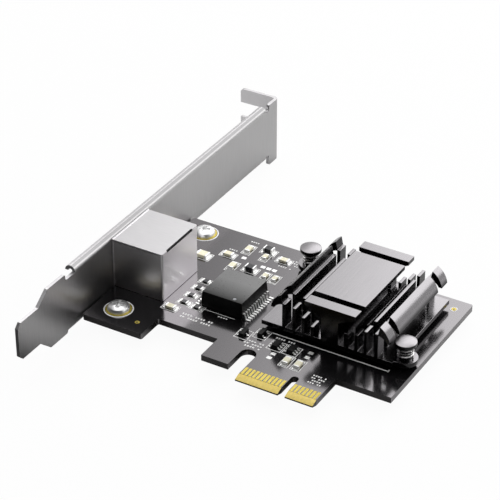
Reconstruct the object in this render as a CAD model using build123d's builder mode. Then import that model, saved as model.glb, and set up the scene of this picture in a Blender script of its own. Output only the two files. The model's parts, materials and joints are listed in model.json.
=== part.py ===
import os

from build123d import *

os.makedirs("parts", exist_ok=True)

# Network interface card with one RJ45 port and a single-lane edge connector, in millimetres.
# Origin: centre of the key notch, at the tip of the edge connector, half way through the board.
# +X runs away from the bracket, +Y up towards the bracket's screw tab, +Z out of the
# component side of the board.

# Edge connector, as the single-lane card standard has it
contact_pitch = 1.0
contact_from_key = 1.5
contact_width = 0.7
contact_length = 2.8
contact_thickness = 0.05
contacts_long_side = 11
contacts_short_side = 7
tab_long = 11.2
tab_short = 7.2
key_width = 1.9
key_depth = 7.3
bevel_length = 1.85
bevel_depth = 0.6
bracket_to_key = 57.15

# Circuit board
board_thickness = 1.6
board_right = 22.3
board_height = 54.4
belly_height = 11.1
heel_height = 3.6
heel_width = 16.75
leg_width = 7.25
latch_notch_width = 4.04
latch_notch_depth = 11.3
board_corner_radius = 0.5

# Bracket sheet
sheet = 0.86
board_gap = 0.4
bracket_length = 120.02
tab_reach = 11.43
tab_bend_inner = 0.44
ear_bottom = -3.42
ear_width = 18.42
ear_start = 93.6
tab_face = 98.9
curl_radius = 1.45
curl_top = 14.8
curl_end = 92.2
upper_curl_start = 2.2
lower_curl_start = -3.0
shoulder_bottom = -1.5
shoulder_start = -1.9
shoulder_length = 7.1
tongue_bottom = 1.95
tongue_width = 10.05
tongue_taper = 4.0
tongue_tip_chamfer = 1.2
sheet_corner_radius = 0.6
slot_width = 4.42
slot_centre_height = 8.7
slot_reach = 6.2
foot_width = 8.4
foot_length = 11.0
foot_corner = 2.0
relief = 0.9

# Screws that hold the board on the bracket's feet
screw_inset = 6.7
lower_screw_y = 9.8
upper_screw_inset = 5.1
screw_radius = 1.45
thread_clearance = 0.03
screw_head_radius = 2.75
screw_head_height = 1.55
screw_head_profile = ((1, 0.3), (0.9, 0.66), (0.65, 0.9))
screw_tip = 0.9
board_screw_radius = 1.65
screw_pad_radius = 3.2
recess_width = 0.85
recess_span = 3.1
recess_depth = 1.1

# RJ45 jack
jack_width = 16.0
jack_height = 13.4
jack_depth = 14.3
jack_y = 25.7
jack_gap = 0.05
shield_sheet = 0.3
shield_lift = 0.1
shield_fold = 0.45
flange_length = 0.35
flange_step = 0.15
shield_slot_length = 11.6
shield_slot_width = 0.62
shield_slot_drop = 0.1
seam_width = 0.22
seam_inset = 0.42
seam_depth = 0.12
shield_tail_width = 1.5
shield_tail_at = 8.2
tail_length = 1.3
tail_clearance = 0.2
housing_clearance = 0.03
housing_recess = 0.15
port_width = 14.4
port_bottom = 0.6
port_top = 12.3
plug_width = 11.84
plug_height = 6.9
plug_floor = 2.2
plug_depth = 11.2
latch_width = 6.3
latch_height = 1.5
latch_neck_width = 3.6
latch_neck_height = 1.3
peg_radius = 1.55
peg_at = 5.7
peg_spacing = 11.43
peg_clearance = 0.08
wire_pitch = 1.02
wire_size = 0.32
wire_count = 8
wire_inset = 1.8
wire_root_height = 6.0
wire_nose_at = 3.4
wire_nose_height = 3.1
wire_hole_radius = 0.3
wire_clearance = 0.35
lamp_width = 2.3
lamp_height = 1.5
lamp_depth = 1.2
lamp_spacing = 10.4
lamp_at_height = 11.3
lamp_clearance = 0.02

# Transformer module
module_x = -28.1
module_y = 26.7
module_width = 11.4
module_length = 12.2
module_height = 4.5
module_standoff = 0.1
module_draft = 4.0
mark_radius = 0.5
mark_depth = 0.08
lead_pitch = 1.0
leads_per_side = 12
lead_width = 0.5
lead_thickness = 0.25
lead_reach = 1.9
lead_height = 1.7

# Controller chip, thermal pad and heatsink
fins_x = 1.3
sink_inset = 4.1
sink_length = 30.0
chip_size = 10.0
chip_height = 0.9
thermal_pad_size = 12.0
thermal_pad_height = 0.25
base_left = 18.2
base_right = 16.5
base_thickness = 1.2
stem_width = 4.6
plateau_width = 13.4
plateau_height = 11.6
plateau_edge = 1.1
plateau_flare = 2.2
fin_thickness = 0.8
fin_offsets = (4.6, 7.0, 9.4)
fin_heights = (5.0, 6.7, 8.5)
wall_offset = 12.2
wall_thickness = 0.9
wing_ledge_height = 8.8
wing_crest_offset = 13.0
wing_crest_height = 11.0
wing_tip_offset = 15.7
wing_tip_height = 7.0
wing_tip_thickness = 0.9
groove_width = 1.9
end_strip = 3.0

# Push pins and the springs under their heads
left_pin_x = -18.9
left_pin_inset = 2.4
right_pin_x = 19.2
right_pin_inset = 3.8
ear_radius = 3.05
pin_head_radius = 2.65
pin_head_edge = 0.9
pin_head_dome = 0.35
pin_head_height = 7.05
pin_radius = 1.3
pin_clearance = 0.06
barb_radius = 1.85
barb_gap = 0.05
barb_length = 1.75
barb_tip_radius = 0.7
barb_slit = 0.5
spring_radius = 2.05
spring_wire = 0.42
spring_turns = 3.5
spring_steps = 16
spring_gap = 0.02

# Chip parts: length, width, height and length of one end cap
resistor_size = (2.0, 1.2, 0.45, 0.35)
capacitor_small = (2.0, 1.25, 0.6, 0.35)
capacitor_medium = (2.6, 1.5, 0.7, 0.45)
capacitor_large = (3.0, 2.2, 0.9, 0.5)
filter_size = (2.6, 1.7, 1.3, 0.4)
pad_overhang = 0.6
pad_inside = 0.2
pad_thickness = 0.04
cap_wrap = 0.03

# Places of the chip parts: x, y and how far each is turned. Those near the upper edge keep
# their distance to it.
upper = board_height
resistor_places = (
    (-38.4, 30.4, 0), (-38.4, 27.0, 0), (-38.3, 23.5, 0), (-38.3, 20.1, 0), (-34.4, 19.7, 0),
)
capacitor_places = (
    (capacitor_medium, -40.0, 16.6, 0),
    (capacitor_large, -45.3, upper - 14.3, 0),
    (capacitor_medium, -40.0, upper - 10.7, 0),
    (capacitor_medium, -36.7, upper - 6.2, 90),
    (capacitor_medium, -36.4, upper - 14.8, 90),
    (capacitor_small, -31.4, upper - 7.2, 90),
    (capacitor_medium, -26.5, upper - 6.3, 0),
    (capacitor_small, -27.1, upper - 14.7, 90),
    (capacitor_small, -24.4, upper - 14.7, 90),
    (capacitor_medium, -4.9, 11.3, 90),
    (capacitor_medium, -1.8, 11.3, 90),
)
filter_places = ((-31.9, upper - 4.5, 0), (-31.7, upper - 14.0, 0))
bare_pad_size = (1.2, 1.0)
bare_pad_places = (
    (-35.9, upper - 10.0), (-29.7, upper - 11.2), (-28.1, upper - 11.2), (-26.5, upper - 11.2),
    (-9.1, 12.4), (-9.2, 10.6), (-1.7, 17.1), (-1.6, 15.1),
)
test_dot_radius = 0.6
test_dot_places = ((-43.5, 7.3), (19.1, upper - 4.0))

# Small leaded chips
regulator_length = 2.9
regulator_height = 1.0
regulator_leg = 0.75
regulator_leg_width = 0.4
regulator_leg_thickness = 0.15
regulator_leg_pitch = 0.95
all_legs = (-regulator_leg_pitch, 0, regulator_leg_pitch)
outer_legs = (-regulator_leg_pitch, regulator_leg_pitch)
middle_leg = (0,)
# x, y, body width, legs on the left and legs on the right
regulators = (
    (-19.1, 15.8, 1.3, outer_legs, middle_leg),
    (-15.3, 17.9, 1.3, middle_leg, outer_legs),
    (-10.0, 15.5, 1.6, all_legs, all_legs),
    (-5.9, 15.6, 1.6, all_legs, all_legs),
)

# Sizes that follow from the ones above
board_top = board_thickness / 2
board_bottom = -board_top
contact_top = board_top + contact_thickness
bracket_face = -bracket_to_key
board_left = bracket_face + board_gap
tab_left = -key_width / 2 - tab_long
tab_right = key_width / 2 + tab_short
heel_right = board_left + heel_width
leg_right = tab_left - latch_notch_width
leg_left = leg_right - leg_width
tongue_tip = tab_face - bracket_length
tongue_top = tongue_bottom + tongue_width
shoulder_end = shoulder_start - shoulder_length
ear_top = ear_bottom + ear_width
web_top = curl_top - curl_radius
foot_bottom = board_bottom - sheet
web_bottom = foot_bottom + curl_radius
tab_edge = bracket_face - tab_reach
screw_x = bracket_face + screw_inset
upper_screw_y = board_height - upper_screw_inset
screw_ys = (lower_screw_y, upper_screw_y)
port_height = port_top - port_bottom
port_z = board_top + (port_top + port_bottom) / 2
jack_front = bracket_face + jack_gap
jack_back = jack_front + jack_depth
jack_top = board_top + jack_height
shield_bottom = board_top + shield_lift
housing_front = jack_front + housing_recess
housing_back = jack_back - shield_sheet - housing_clearance
housing_width = jack_width - 2 * (shield_sheet + housing_clearance)
housing_height = jack_height - shield_sheet - housing_clearance
wire_x = jack_back - wire_inset
wire_ys = [jack_y + (i - (wire_count - 1) / 2) * wire_pitch for i in range(wire_count)]
tail_x = jack_front + shield_tail_at
tail_y = (jack_width - shield_sheet) / 2
lead_plane = board_top + lead_height - lead_thickness / 2
base_bottom = board_top + chip_height + thermal_pad_height
base_top = base_bottom + base_thickness
sink_back = board_height - sink_inset
sink_front = sink_back - sink_length
sink_y = (sink_front + sink_back) / 2
pins = {
    "left": (left_pin_x, sink_back - left_pin_inset),
    "right": (right_pin_x, sink_front + right_pin_inset),
}
pin_hole_radius = pin_radius + pin_clearance
pin_head_top = board_top + pin_head_height
pin_head_under = pin_head_top - pin_head_edge - pin_head_dome
barb_top = board_bottom - barb_gap


def across(y):
    """Plane across the card at height y: its first axis is +X and its second +Z."""
    return Plane.XZ.offset(-y)


def end_cap_places(length, cap, x, y, z, turn):
    """Centres of the two end caps of a chip part, turned with it."""
    middle = Location((x, y, z), (0, 0, turn))
    return [middle * Location((side * (length - cap) / 2, 0, 0)) for side in (-1, 1)]


# Circuit board: its heel, leg, latch notch and keyed edge connector
with BuildPart() as circuit_board:
    with BuildSketch(Plane.XY.offset(board_bottom)) as outline:
        with BuildLine():
            Polyline(
                (board_left, board_height),
                (board_left, heel_height),
                (heel_right, heel_height),
                (heel_right, belly_height),
                (leg_left, belly_height),
                (leg_left, heel_height),
                (leg_right, heel_height),
                (leg_right, latch_notch_depth / 2),
                (tab_left, latch_notch_depth / 2),
                (tab_left, 0),
                (tab_right, 0),
                (tab_right, belly_height),
                (board_right, belly_height),
                (board_right, board_height),
                close=True,
            )
        make_face()
        rounded = outline.vertices().filter_by(lambda v: v.Y > belly_height or v.X < leg_left)
        fillet(rounded, board_corner_radius)
        for x, width, depth in (
            ((leg_right + tab_left) / 2, latch_notch_width, latch_notch_depth),
            (0, key_width, key_depth),
        ):
            with Locations((x, 0)):
                SlotOverall(2 * depth, width, rotation=90, mode=Mode.SUBTRACT)
    extrude(amount=board_thickness)
    # Both faces slope towards the tip, so the card slides into its socket
    with BuildSketch(Plane.YZ.offset(tab_left)):
        for side in (-1, 1):
            with BuildLine():
                Polyline(
                    (0, side * board_top),
                    (bevel_length, side * board_top),
                    (0, side * (board_top - bevel_depth)),
                    close=True,
                )
            make_face()
    extrude(amount=tab_right - tab_left, mode=Mode.SUBTRACT)
    # Holes for the screws, push pins, jack pegs and jack wires, and slots for the shield's tails
    with BuildSketch(Plane.XY.offset(board_bottom)):
        with Locations(*[(screw_x, y) for y in screw_ys]):
            Circle(board_screw_radius)
        with Locations(*pins.values()):
            Circle(pin_hole_radius)
        with Locations(*[(jack_front + peg_at, jack_y + s * peg_spacing / 2) for s in (-1, 1)]):
            Circle(peg_radius + peg_clearance)
        with Locations(*[(wire_x, y) for y in wire_ys]):
            RegularPolygon(wire_hole_radius, 8)
        with Locations(*[(tail_x, jack_y + s * tail_y) for s in (-1, 1)]):
            Rectangle(shield_tail_width + tail_clearance, shield_sheet + tail_clearance)
    extrude(amount=board_thickness, mode=Mode.SUBTRACT)

circuit_board.part.label = "circuit_board"
export_step(circuit_board.part, "parts/circuit_board.step")

# Edge contacts, one row on each face, on both sides of the key notch
contact_y = bevel_length + 0.05 + contact_length / 2
contact_xs = [-contact_from_key - i * contact_pitch for i in range(contacts_long_side)]
contact_xs += [contact_from_key + i * contact_pitch for i in range(contacts_short_side)]

with BuildPart() as edge_contacts_top:
    with Locations(*[(x, contact_y, board_top) for x in contact_xs]):
        Box(contact_width, contact_length, contact_thickness,
            align=(Align.CENTER, Align.CENTER, Align.MIN))

edge_contacts_top.part.label = "edge_contacts_top"
export_step(edge_contacts_top.part, "parts/edge_contacts_top.step")

with BuildPart() as edge_contacts_bottom:
    with Locations(*[(x, contact_y, board_bottom) for x in contact_xs]):
        Box(contact_width, contact_length, contact_thickness,
            align=(Align.CENTER, Align.CENTER, Align.MAX))

edge_contacts_bottom.part.label = "edge_contacts_bottom"
export_step(edge_contacts_bottom.part, "parts/edge_contacts_bottom.step")

# Bracket: one folded sheet with a tongue, rolled long edges, a screw tab and two feet
with BuildPart() as bracket:
    # The flat of the sheet, from the tongue's tip to the ear
    with BuildSketch(Plane.YZ.offset(bracket_face - sheet)) as flat:
        with BuildLine():
            Polyline(
                (tongue_tip, tongue_bottom),
                (shoulder_end - tongue_taper, tongue_bottom),
                (shoulder_end, shoulder_bottom),
                (shoulder_start, shoulder_bottom),
                (shoulder_start, web_bottom),
                (ear_start, web_bottom),
                (ear_start, ear_bottom),
                (tab_face - sheet - tab_bend_inner, ear_bottom),
                (tab_face - sheet - tab_bend_inner, ear_top),
                (ear_start, ear_top),
                (ear_start, web_top),
                (shoulder_start, web_top),
                (shoulder_start, ear_top),
                (shoulder_end, ear_top),
                (shoulder_end - tongue_taper, tongue_top),
                (tongue_tip, tongue_top),
                close=True,
            )
        make_face()
        chamfer(flat.vertices().group_by(Axis.X)[0], tongue_tip_chamfer)
        corners = flat.vertices().filter_by(
            lambda v: shoulder_end - 0.1 < v.X < shoulder_start + 0.1 or abs(v.X - ear_start) < 0.1
        )
        fillet(corners, sheet_corner_radius)
        with Locations((jack_y, port_z)):
            RectangleRounded(port_width, port_height, sheet_corner_radius, mode=Mode.SUBTRACT)
    extrude(amount=sheet)

    # The ear bends over into the screw tab
    with BuildSketch(Plane.XY.offset(ear_bottom)) as bend:
        with BuildLine():
            Polyline(
                (bracket_face, tab_face - sheet - 2 * tab_bend_inner),
                (bracket_face, tab_face),
                (tab_edge, tab_face),
                (tab_edge, tab_face - sheet),
                (bracket_face - sheet, tab_face - sheet),
                (bracket_face - sheet, tab_face - sheet - 2 * tab_bend_inner),
                close=True,
            )
        make_face()
        fillet(bend.vertices().sort_by(Axis.X).sort_by(lambda v: v.X + v.Y)[-1],
               tab_bend_inner + sheet)
        inner = bend.vertices().filter_by(
            lambda v: abs(v.X - bracket_face + sheet) < 0.01 and abs(v.Y - tab_face + sheet) < 0.01
        )
        fillet(inner, tab_bend_inner)
    extrude(amount=ear_width)
    with BuildSketch(across(tab_face)):
        with Locations((tab_edge, slot_centre_height)):
            SlotCenterToCenter(2 * slot_reach, slot_width)
    extrude(amount=sheet, mode=Mode.SUBTRACT)
    fillet(bracket.edges().filter_by(Axis.Y).group_by(Axis.X)[0].group_by(Axis.Z)[0], 1.0)
    fillet(bracket.edges().filter_by(Axis.Y).group_by(Axis.X)[0].group_by(Axis.Z)[-1], 1.0)

    # Rolled edges: half tubes that curl outwards, left out beside each foot
    lower_starts = [lower_curl_start] + [y + foot_width / 2 + relief for y in screw_ys]
    lower_ends = [y - foot_width / 2 - relief for y in screw_ys] + [curl_end]
    curls = [(web_bottom, -1, a, b) for a, b in zip(lower_starts, lower_ends)]
    curls.append((web_top, 1, upper_curl_start, curl_end))
    for z, side, start, end in curls:
        with BuildSketch(across(start)):
            with Locations((bracket_face - curl_radius, z)):
                Circle(curl_radius)
                Circle(curl_radius - sheet, mode=Mode.SUBTRACT)
            with Locations((bracket_face - curl_radius, z + side * curl_radius / 2)):
                Rectangle(2 * curl_radius, curl_radius, mode=Mode.INTERSECT)
        extrude(amount=start - end)

    # Feet that fold in under the board, each tapped for a screw
    for y in screw_ys:
        with BuildSketch(across(y - foot_width / 2)) as foot:
            with BuildLine():
                Polyline(
                    (bracket_face - sheet, web_bottom + sheet),
                    (bracket_face - sheet, foot_bottom),
                    (bracket_face + foot_length, foot_bottom),
                    (bracket_face + foot_length, board_bottom),
                    (bracket_face, board_bottom),
                    (bracket_face, web_bottom + sheet),
                    close=True,
                )
            make_face()
            fillet(foot.vertices().sort_by(lambda v: v.X + v.Y)[0], board_gap + sheet)
            inner = foot.vertices().filter_by(
                lambda v: abs(v.X - bracket_face) < 0.01 and abs(v.Y - board_bottom) < 0.01
            )
            fillet(inner, board_gap)
        extrude(amount=-foot_width)
        ends = bracket.edges().filter_by(Axis.Z).group_by(Axis.X)[-1].filter_by(
            lambda e: abs(e.center().Y - y) < foot_width
        )
        fillet(ends, foot_corner)
        with Locations((screw_x, y, board_bottom)):
            Cylinder(screw_radius + thread_clearance, 3 * sheet, mode=Mode.SUBTRACT)

bracket.part.label = "bracket"
export_step(bracket.part, "parts/bracket.step")

# Gold rings around the two screw holes
with BuildPart() as screw_pads:
    with BuildSketch(Plane.XY.offset(board_top)):
        with Locations(*[(screw_x, y) for y in screw_ys]):
            Circle(screw_pad_radius)
            Circle(board_screw_radius, mode=Mode.SUBTRACT)
    extrude(amount=contact_thickness)

screw_pads.part.label = "screw_pads"
export_step(screw_pads.part, "parts/screw_pads.step")

# Pan head screws with a cross recess, through the board into the feet
head_top = contact_top + screw_head_height
screw_end = foot_bottom - screw_tip

with BuildPart() as bracket_screws:
    for y in screw_ys:
        with BuildSketch(across(y)):
            with Locations((screw_x, 0)):
                Polygon(
                    (0, screw_end),
                    (0.8 * screw_radius, screw_end),
                    (screw_radius, screw_end + 0.2 * screw_radius),
                    (screw_radius, contact_top),
                    (screw_head_radius, contact_top),
                    *[(screw_head_radius * across_share, contact_top + screw_head_height * rise)
                      for across_share, rise in screw_head_profile],
                    (0, head_top),
                    align=None,
                )
        revolve(axis=Axis((screw_x, y, 0), (0, 0, 1)))
        for turn in (20, 110):
            with Locations(Location((screw_x, y, head_top), (0, 0, turn))):
                Box(recess_span, recess_width, 2 * recess_depth, mode=Mode.SUBTRACT)

bracket_screws.part.label = "bracket_screws"
export_step(bracket_screws.part, "parts/bracket_screws.step")

# Jack shield: folded can, open in front and below, with a lip round its front and two tails
with BuildPart() as jack_shield:
    with Locations((jack_front, jack_y, shield_bottom)):
        Box(jack_depth, jack_width, jack_top - shield_bottom,
            align=(Align.MIN, Align.CENTER, Align.MIN))
        fillet(jack_shield.edges().filter_by(Axis.Z).group_by(Axis.X)[-1], shield_fold)
        Box(flange_length, jack_width + 2 * flange_step, jack_top - shield_bottom + flange_step,
            align=(Align.MIN, Align.CENTER, Align.MIN))
        Box(jack_depth - shield_sheet, jack_width - 2 * shield_sheet,
            jack_top - shield_bottom - shield_sheet,
            align=(Align.MIN, Align.CENTER, Align.MIN), mode=Mode.SUBTRACT)
    # Slot along the fold between the top and the back
    fold = Plane(origin=(jack_back, jack_y, jack_top - shield_slot_drop), x_dir=(0, 1, 0),
                 z_dir=(1, 0, 1))
    with BuildSketch(fold):
        SlotOverall(shield_slot_length, shield_slot_width)
    extrude(amount=3 * shield_sheet, both=True, mode=Mode.SUBTRACT)
    for side in (-1, 1):
        edge_y = jack_y + side * jack_width / 2
        # Seam where the side meets the folded top
        with Locations((jack_front + flange_length, edge_y, jack_top - seam_inset)):
            Box(jack_depth - flange_length - 2 * shield_fold, 2 * seam_depth, seam_width,
                align=(Align.MIN, Align.CENTER, Align.CENTER), mode=Mode.SUBTRACT)
        with Locations((tail_x, jack_y + side * tail_y, shield_bottom + shield_sheet)):
            Box(shield_tail_width, shield_sheet,
                shield_bottom + shield_sheet - board_bottom + tail_length,
                align=(Align.CENTER, Align.CENTER, Align.MAX))

jack_shield.part.label = "jack_shield"
export_step(jack_shield.part, "parts/jack_shield.step")

# Jack housing: plastic block with the stepped plug cavity and two pegs in the board
with BuildPart() as jack_housing:
    with Locations((housing_front, jack_y, board_top)):
        Box(housing_back - housing_front, housing_width, housing_height,
            align=(Align.MIN, Align.CENTER, Align.MIN))
    with BuildSketch(Plane.YZ.offset(housing_front)):
        floor_z = board_top + plug_floor
        for width, low, high in (
            (plug_width, 0, plug_height),
            (latch_width, plug_height, plug_height + latch_height),
            (latch_neck_width, plug_height + latch_height,
             plug_height + latch_height + latch_neck_height),
        ):
            with Locations((jack_y, floor_z + (low + high) / 2)):
                Rectangle(width, high - low)
    extrude(amount=plug_depth, mode=Mode.SUBTRACT)
    # Pocket where the contact wires stand, open below and into the cavity's back
    with Locations((wire_x + wire_size / 2 + wire_clearance, jack_y, board_top)):
        Box(wire_x + wire_size / 2 + wire_clearance - housing_front - plug_depth + 0.5,
            wire_ys[-1] - wire_ys[0] + wire_size + 2 * wire_clearance,
            wire_root_height + wire_size / 2 + wire_clearance,
            align=(Align.MAX, Align.CENTER, Align.MIN), mode=Mode.SUBTRACT)
    for side in (-1, 1):
        with Locations((jack_front + peg_at, jack_y + side * peg_spacing / 2, board_top)):
            Cylinder(peg_radius, board_thickness + tail_length / 2,
                     align=(Align.CENTER, Align.CENTER, Align.MAX))
        with Locations((housing_front, jack_y + side * lamp_spacing / 2,
                        board_top + lamp_at_height)):
            Box(lamp_depth, lamp_width, lamp_height,
                align=(Align.MIN, Align.CENTER, Align.CENTER), mode=Mode.SUBTRACT)

jack_housing.part.label = "jack_housing"
export_step(jack_housing.part, "parts/jack_housing.step")

# Two light windows in the upper corners of the port
with BuildPart() as jack_lamps:
    for side in (-1, 1):
        with Locations((housing_front, jack_y + side * lamp_spacing / 2,
                        board_top + lamp_at_height)):
            Box(lamp_depth, lamp_width - 2 * lamp_clearance, lamp_height - 2 * lamp_clearance,
                align=(Align.MIN, Align.CENTER, Align.CENTER))

jack_lamps.part.label = "jack_lamps"
export_step(jack_lamps.part, "parts/jack_lamps.step")

# Eight contact wires: each stands in the board and reaches forward over the cavity floor
nose_x = jack_front + wire_nose_at
nose_z = board_top + wire_nose_height

with BuildPart() as jack_contacts:
    for y in wire_ys:
        with BuildSketch(across(y - wire_size / 2)):
            with BuildLine():
                Polyline(
                    (wire_x, board_bottom - tail_length),
                    (wire_x, board_top + wire_root_height),
                    (nose_x, nose_z),
                    (nose_x - 2 * wire_size, nose_z - 2 * wire_size),
                )
            trace(line_width=wire_size)
        extrude(amount=-wire_size)

jack_contacts.part.label = "jack_contacts"
export_step(jack_contacts.part, "parts/jack_contacts.step")

# Transformer module: moulded body that tapers both ways from the plane of its leads
with BuildPart() as magnetics_body:
    with BuildSketch(Plane.XY.offset(lead_plane)):
        with Locations((module_x, module_y)):
            Rectangle(module_width, module_length)
    extrude(amount=board_top + module_height - lead_plane, taper=module_draft)
    with BuildSketch(Plane.XY.offset(lead_plane)):
        with Locations((module_x, module_y)):
            Rectangle(module_width, module_length)
    extrude(amount=-(lead_plane - board_top - module_standoff), taper=module_draft)
    with Locations((module_x + 0.26 * module_width, module_y - 0.4 * module_length,
                    board_top + module_height)):
        Cylinder(mark_radius, 2 * mark_depth, mode=Mode.SUBTRACT)

magnetics_body.part.label = "magnetics_body"
export_step(magnetics_body.part, "parts/magnetics_body.step")


def lead_corners(reach, height, thickness):
    """Corners of a lead that leaves a body, steps down and ends in a flat foot."""
    bend = 0.25 * reach
    foot = 0.45 * reach
    return (
        (0, height),
        (bend, height),
        (foot, thickness),
        (reach, thickness),
        (reach, 0),
        (foot - thickness / 2, 0),
        (bend - thickness / 2, height - thickness),
        (0, height - thickness),
    )


with BuildPart() as magnetics_leads:
    for side in (-1, 1):
        for i in range(leads_per_side):
            y = module_y + (i - (leads_per_side - 1) / 2) * lead_pitch
            start = Plane(
                origin=(module_x + side * module_width / 2, y + side * lead_width / 2, board_top),
                x_dir=(side, 0, 0), z_dir=(0, -side, 0),
            )
            with BuildSketch(start):
                Polygon(*lead_corners(lead_reach, lead_height, lead_thickness), align=None)
            extrude(amount=lead_width)

magnetics_leads.part.label = "magnetics_leads"
export_step(magnetics_leads.part, "parts/magnetics_leads.step")

# Controller chip and the thermal pad on it
with BuildPart() as controller_chip:
    with Locations((fins_x, sink_y, board_top)):
        Box(chip_size, chip_size, chip_height, align=(Align.CENTER, Align.CENTER, Align.MIN))

controller_chip.part.label = "controller_chip"
export_step(controller_chip.part, "parts/controller_chip.step")

with BuildPart() as thermal_pad:
    with Locations((fins_x, sink_y, board_top + chip_height)):
        Box(thermal_pad_size, thermal_pad_size, thermal_pad_height,
            align=(Align.CENTER, Align.CENTER, Align.MIN))

thermal_pad.part.label = "thermal_pad"
export_step(thermal_pad.part, "parts/thermal_pad.step")

# Heatsink: one extrusion with a T-shaped middle, low fins and a hooked wing at each side
with BuildPart() as heatsink:
    across_fins = Plane(origin=(fins_x, sink_front, board_top), x_dir=(1, 0, 0),
                        z_dir=(0, -1, 0))
    base_low = base_bottom - board_top
    base_high = base_top - board_top
    # Base plate
    with BuildSketch(across_fins):
        with Locations(((base_right - base_left) / 2, (base_low + base_high) / 2)):
            Rectangle(base_right + base_left, base_thickness)
    extrude(amount=-sink_length)
    # Stem, plateau, fins and wings, the same on both sides of the middle
    with BuildSketch(across_fins):
        with BuildLine():
            Polyline(
                (0, base_low),
                (stem_width / 2, base_low),
                (stem_width / 2, plateau_height - plateau_edge - plateau_flare),
                (plateau_width / 2, plateau_height - plateau_edge),
                (plateau_width / 2, plateau_height),
                (0, plateau_height),
                close=True,
            )
        make_face()
        for offset, height in zip(fin_offsets, fin_heights):
            with Locations((offset, (base_low + height) / 2)):
                Rectangle(fin_thickness, height - base_low)
        wall_in = wall_offset - wall_thickness / 2
        wall_out = wall_offset + wall_thickness / 2
        crest_in = wing_crest_offset - wall_thickness / 2
        with BuildLine():
            Polyline(
                (wing_tip_offset - wing_tip_thickness, wing_tip_height),
                (wing_tip_offset, wing_tip_height),
            )
            ThreePointArc(
                (wing_tip_offset, wing_tip_height),
                (wing_tip_offset - 0.34 * (wing_tip_offset - wing_crest_offset),
                 wing_crest_height - 0.40 * (wing_crest_height - wing_tip_height)),
                (wing_crest_offset, wing_crest_height),
            )
            Polyline(
                (wing_crest_offset, wing_crest_height),
                (crest_in, wing_ledge_height),
                (wall_in, wing_ledge_height),
                (wall_in, base_low),
                (wall_out, base_low),
                (wall_out, wing_ledge_height - 0.3),
            )
            ThreePointArc(
                (wall_out, wing_ledge_height - 0.3),
                (wall_out + 0.64 * (wing_tip_offset - wing_tip_thickness - wall_out),
                 wing_tip_height + 0.60 * (wing_ledge_height - 0.3 - wing_tip_height)),
                (wing_tip_offset - wing_tip_thickness, wing_tip_height),
            )
        make_face()
        mirror(about=Plane.YZ)
    extrude(amount=-sink_length)
    # Grooves that run across the fins near both ends
    for y in (sink_front + end_strip + groove_width / 2, sink_back - end_strip - groove_width / 2):
        with Locations((fins_x, y, base_top)):
            Box(3 * plateau_width, groove_width, plateau_height,
                align=(Align.CENTER, Align.CENTER, Align.MIN), mode=Mode.SUBTRACT)
    # Ears for the push pins, level with the base
    for side, (x, y) in ((-1, pins["left"]), (1, pins["right"])):
        with BuildSketch(Plane.XY.offset(base_bottom)):
            with Locations((x, y)):
                Circle(ear_radius)
            with Locations((x - side * ear_radius, y)):
                Rectangle(2 * ear_radius, 2 * ear_radius)
        extrude(amount=base_thickness)
        with Locations((x, y, base_bottom)):
            Cylinder(pin_hole_radius, 3 * base_thickness, mode=Mode.SUBTRACT)

heatsink.part.label = "heatsink"
export_step(heatsink.part, "parts/heatsink.step")

# Push pin: domed head, shank through heatsink and board, and a split barb below
with BuildPart() as pin_shape:
    with BuildSketch(Plane.XZ):
        with BuildLine():
            Polyline(
                (0, pin_head_top),
                (0, barb_top - barb_length),
                (barb_tip_radius, barb_top - barb_length),
                (barb_radius, barb_top - 0.3 * barb_length),
                (barb_radius, barb_top),
                (pin_radius, barb_top),
                (pin_radius, pin_head_under),
                (pin_head_radius, pin_head_under),
                (pin_head_radius, pin_head_top - pin_head_dome),
            )
            TangentArc(
                (0, pin_head_top),
                (pin_head_radius, pin_head_top - pin_head_dome),
                tangent=(1, 0),
            )
        make_face()
    revolve(axis=Axis.Z)
    with Locations((0, 0, barb_top - barb_length)):
        Box(barb_slit, 3 * barb_radius, 2 * (barb_length + board_thickness / 2),
            mode=Mode.SUBTRACT)

for name, (x, y) in pins.items():
    with BuildPart() as push_pin:
        with Locations((x, y, 0)):
            add(pin_shape.part)
    push_pin.part.label = "push_pin_" + name
    export_step(push_pin.part, "parts/push_pin_" + name + ".step")

# Coil springs between the heatsink's ears and the pin heads
coil_bottom = base_top + spring_wire / 2 + spring_gap
coil_height = pin_head_under - base_top - spring_wire - 2 * spring_gap

for name, (x, y) in pins.items():
    with BuildPart() as spring:
        # The wire follows the helix in short straight steps
        with BuildLine() as coil:
            helix = Helix(
                pitch=coil_height / spring_turns,
                height=coil_height,
                radius=spring_radius - spring_wire / 2,
                center=(x, y, coil_bottom),
                mode=Mode.PRIVATE,
            )
            steps = round(spring_turns * spring_steps)
            Polyline(*[helix @ (i / steps) for i in range(steps + 1)])
        with BuildSketch(Plane(origin=coil.line @ 0, z_dir=coil.line % 0)):
            RegularPolygon(spring_wire / 2, 6)
        sweep(transition=Transition.RIGHT)
    spring.part.label = "pin_spring_" + name
    export_step(spring.part, "parts/pin_spring_" + name + ".step")

# Chip resistors, capacitors and filters, with metal caps on both ends
chips = {
    "resistor": [(resistor_size, x, y, turn) for x, y, turn in resistor_places],
    "capacitor": capacitor_places,
    "filter": [(filter_size, x, y, turn) for x, y, turn in filter_places],
}
part_z = board_top + pad_thickness

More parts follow.
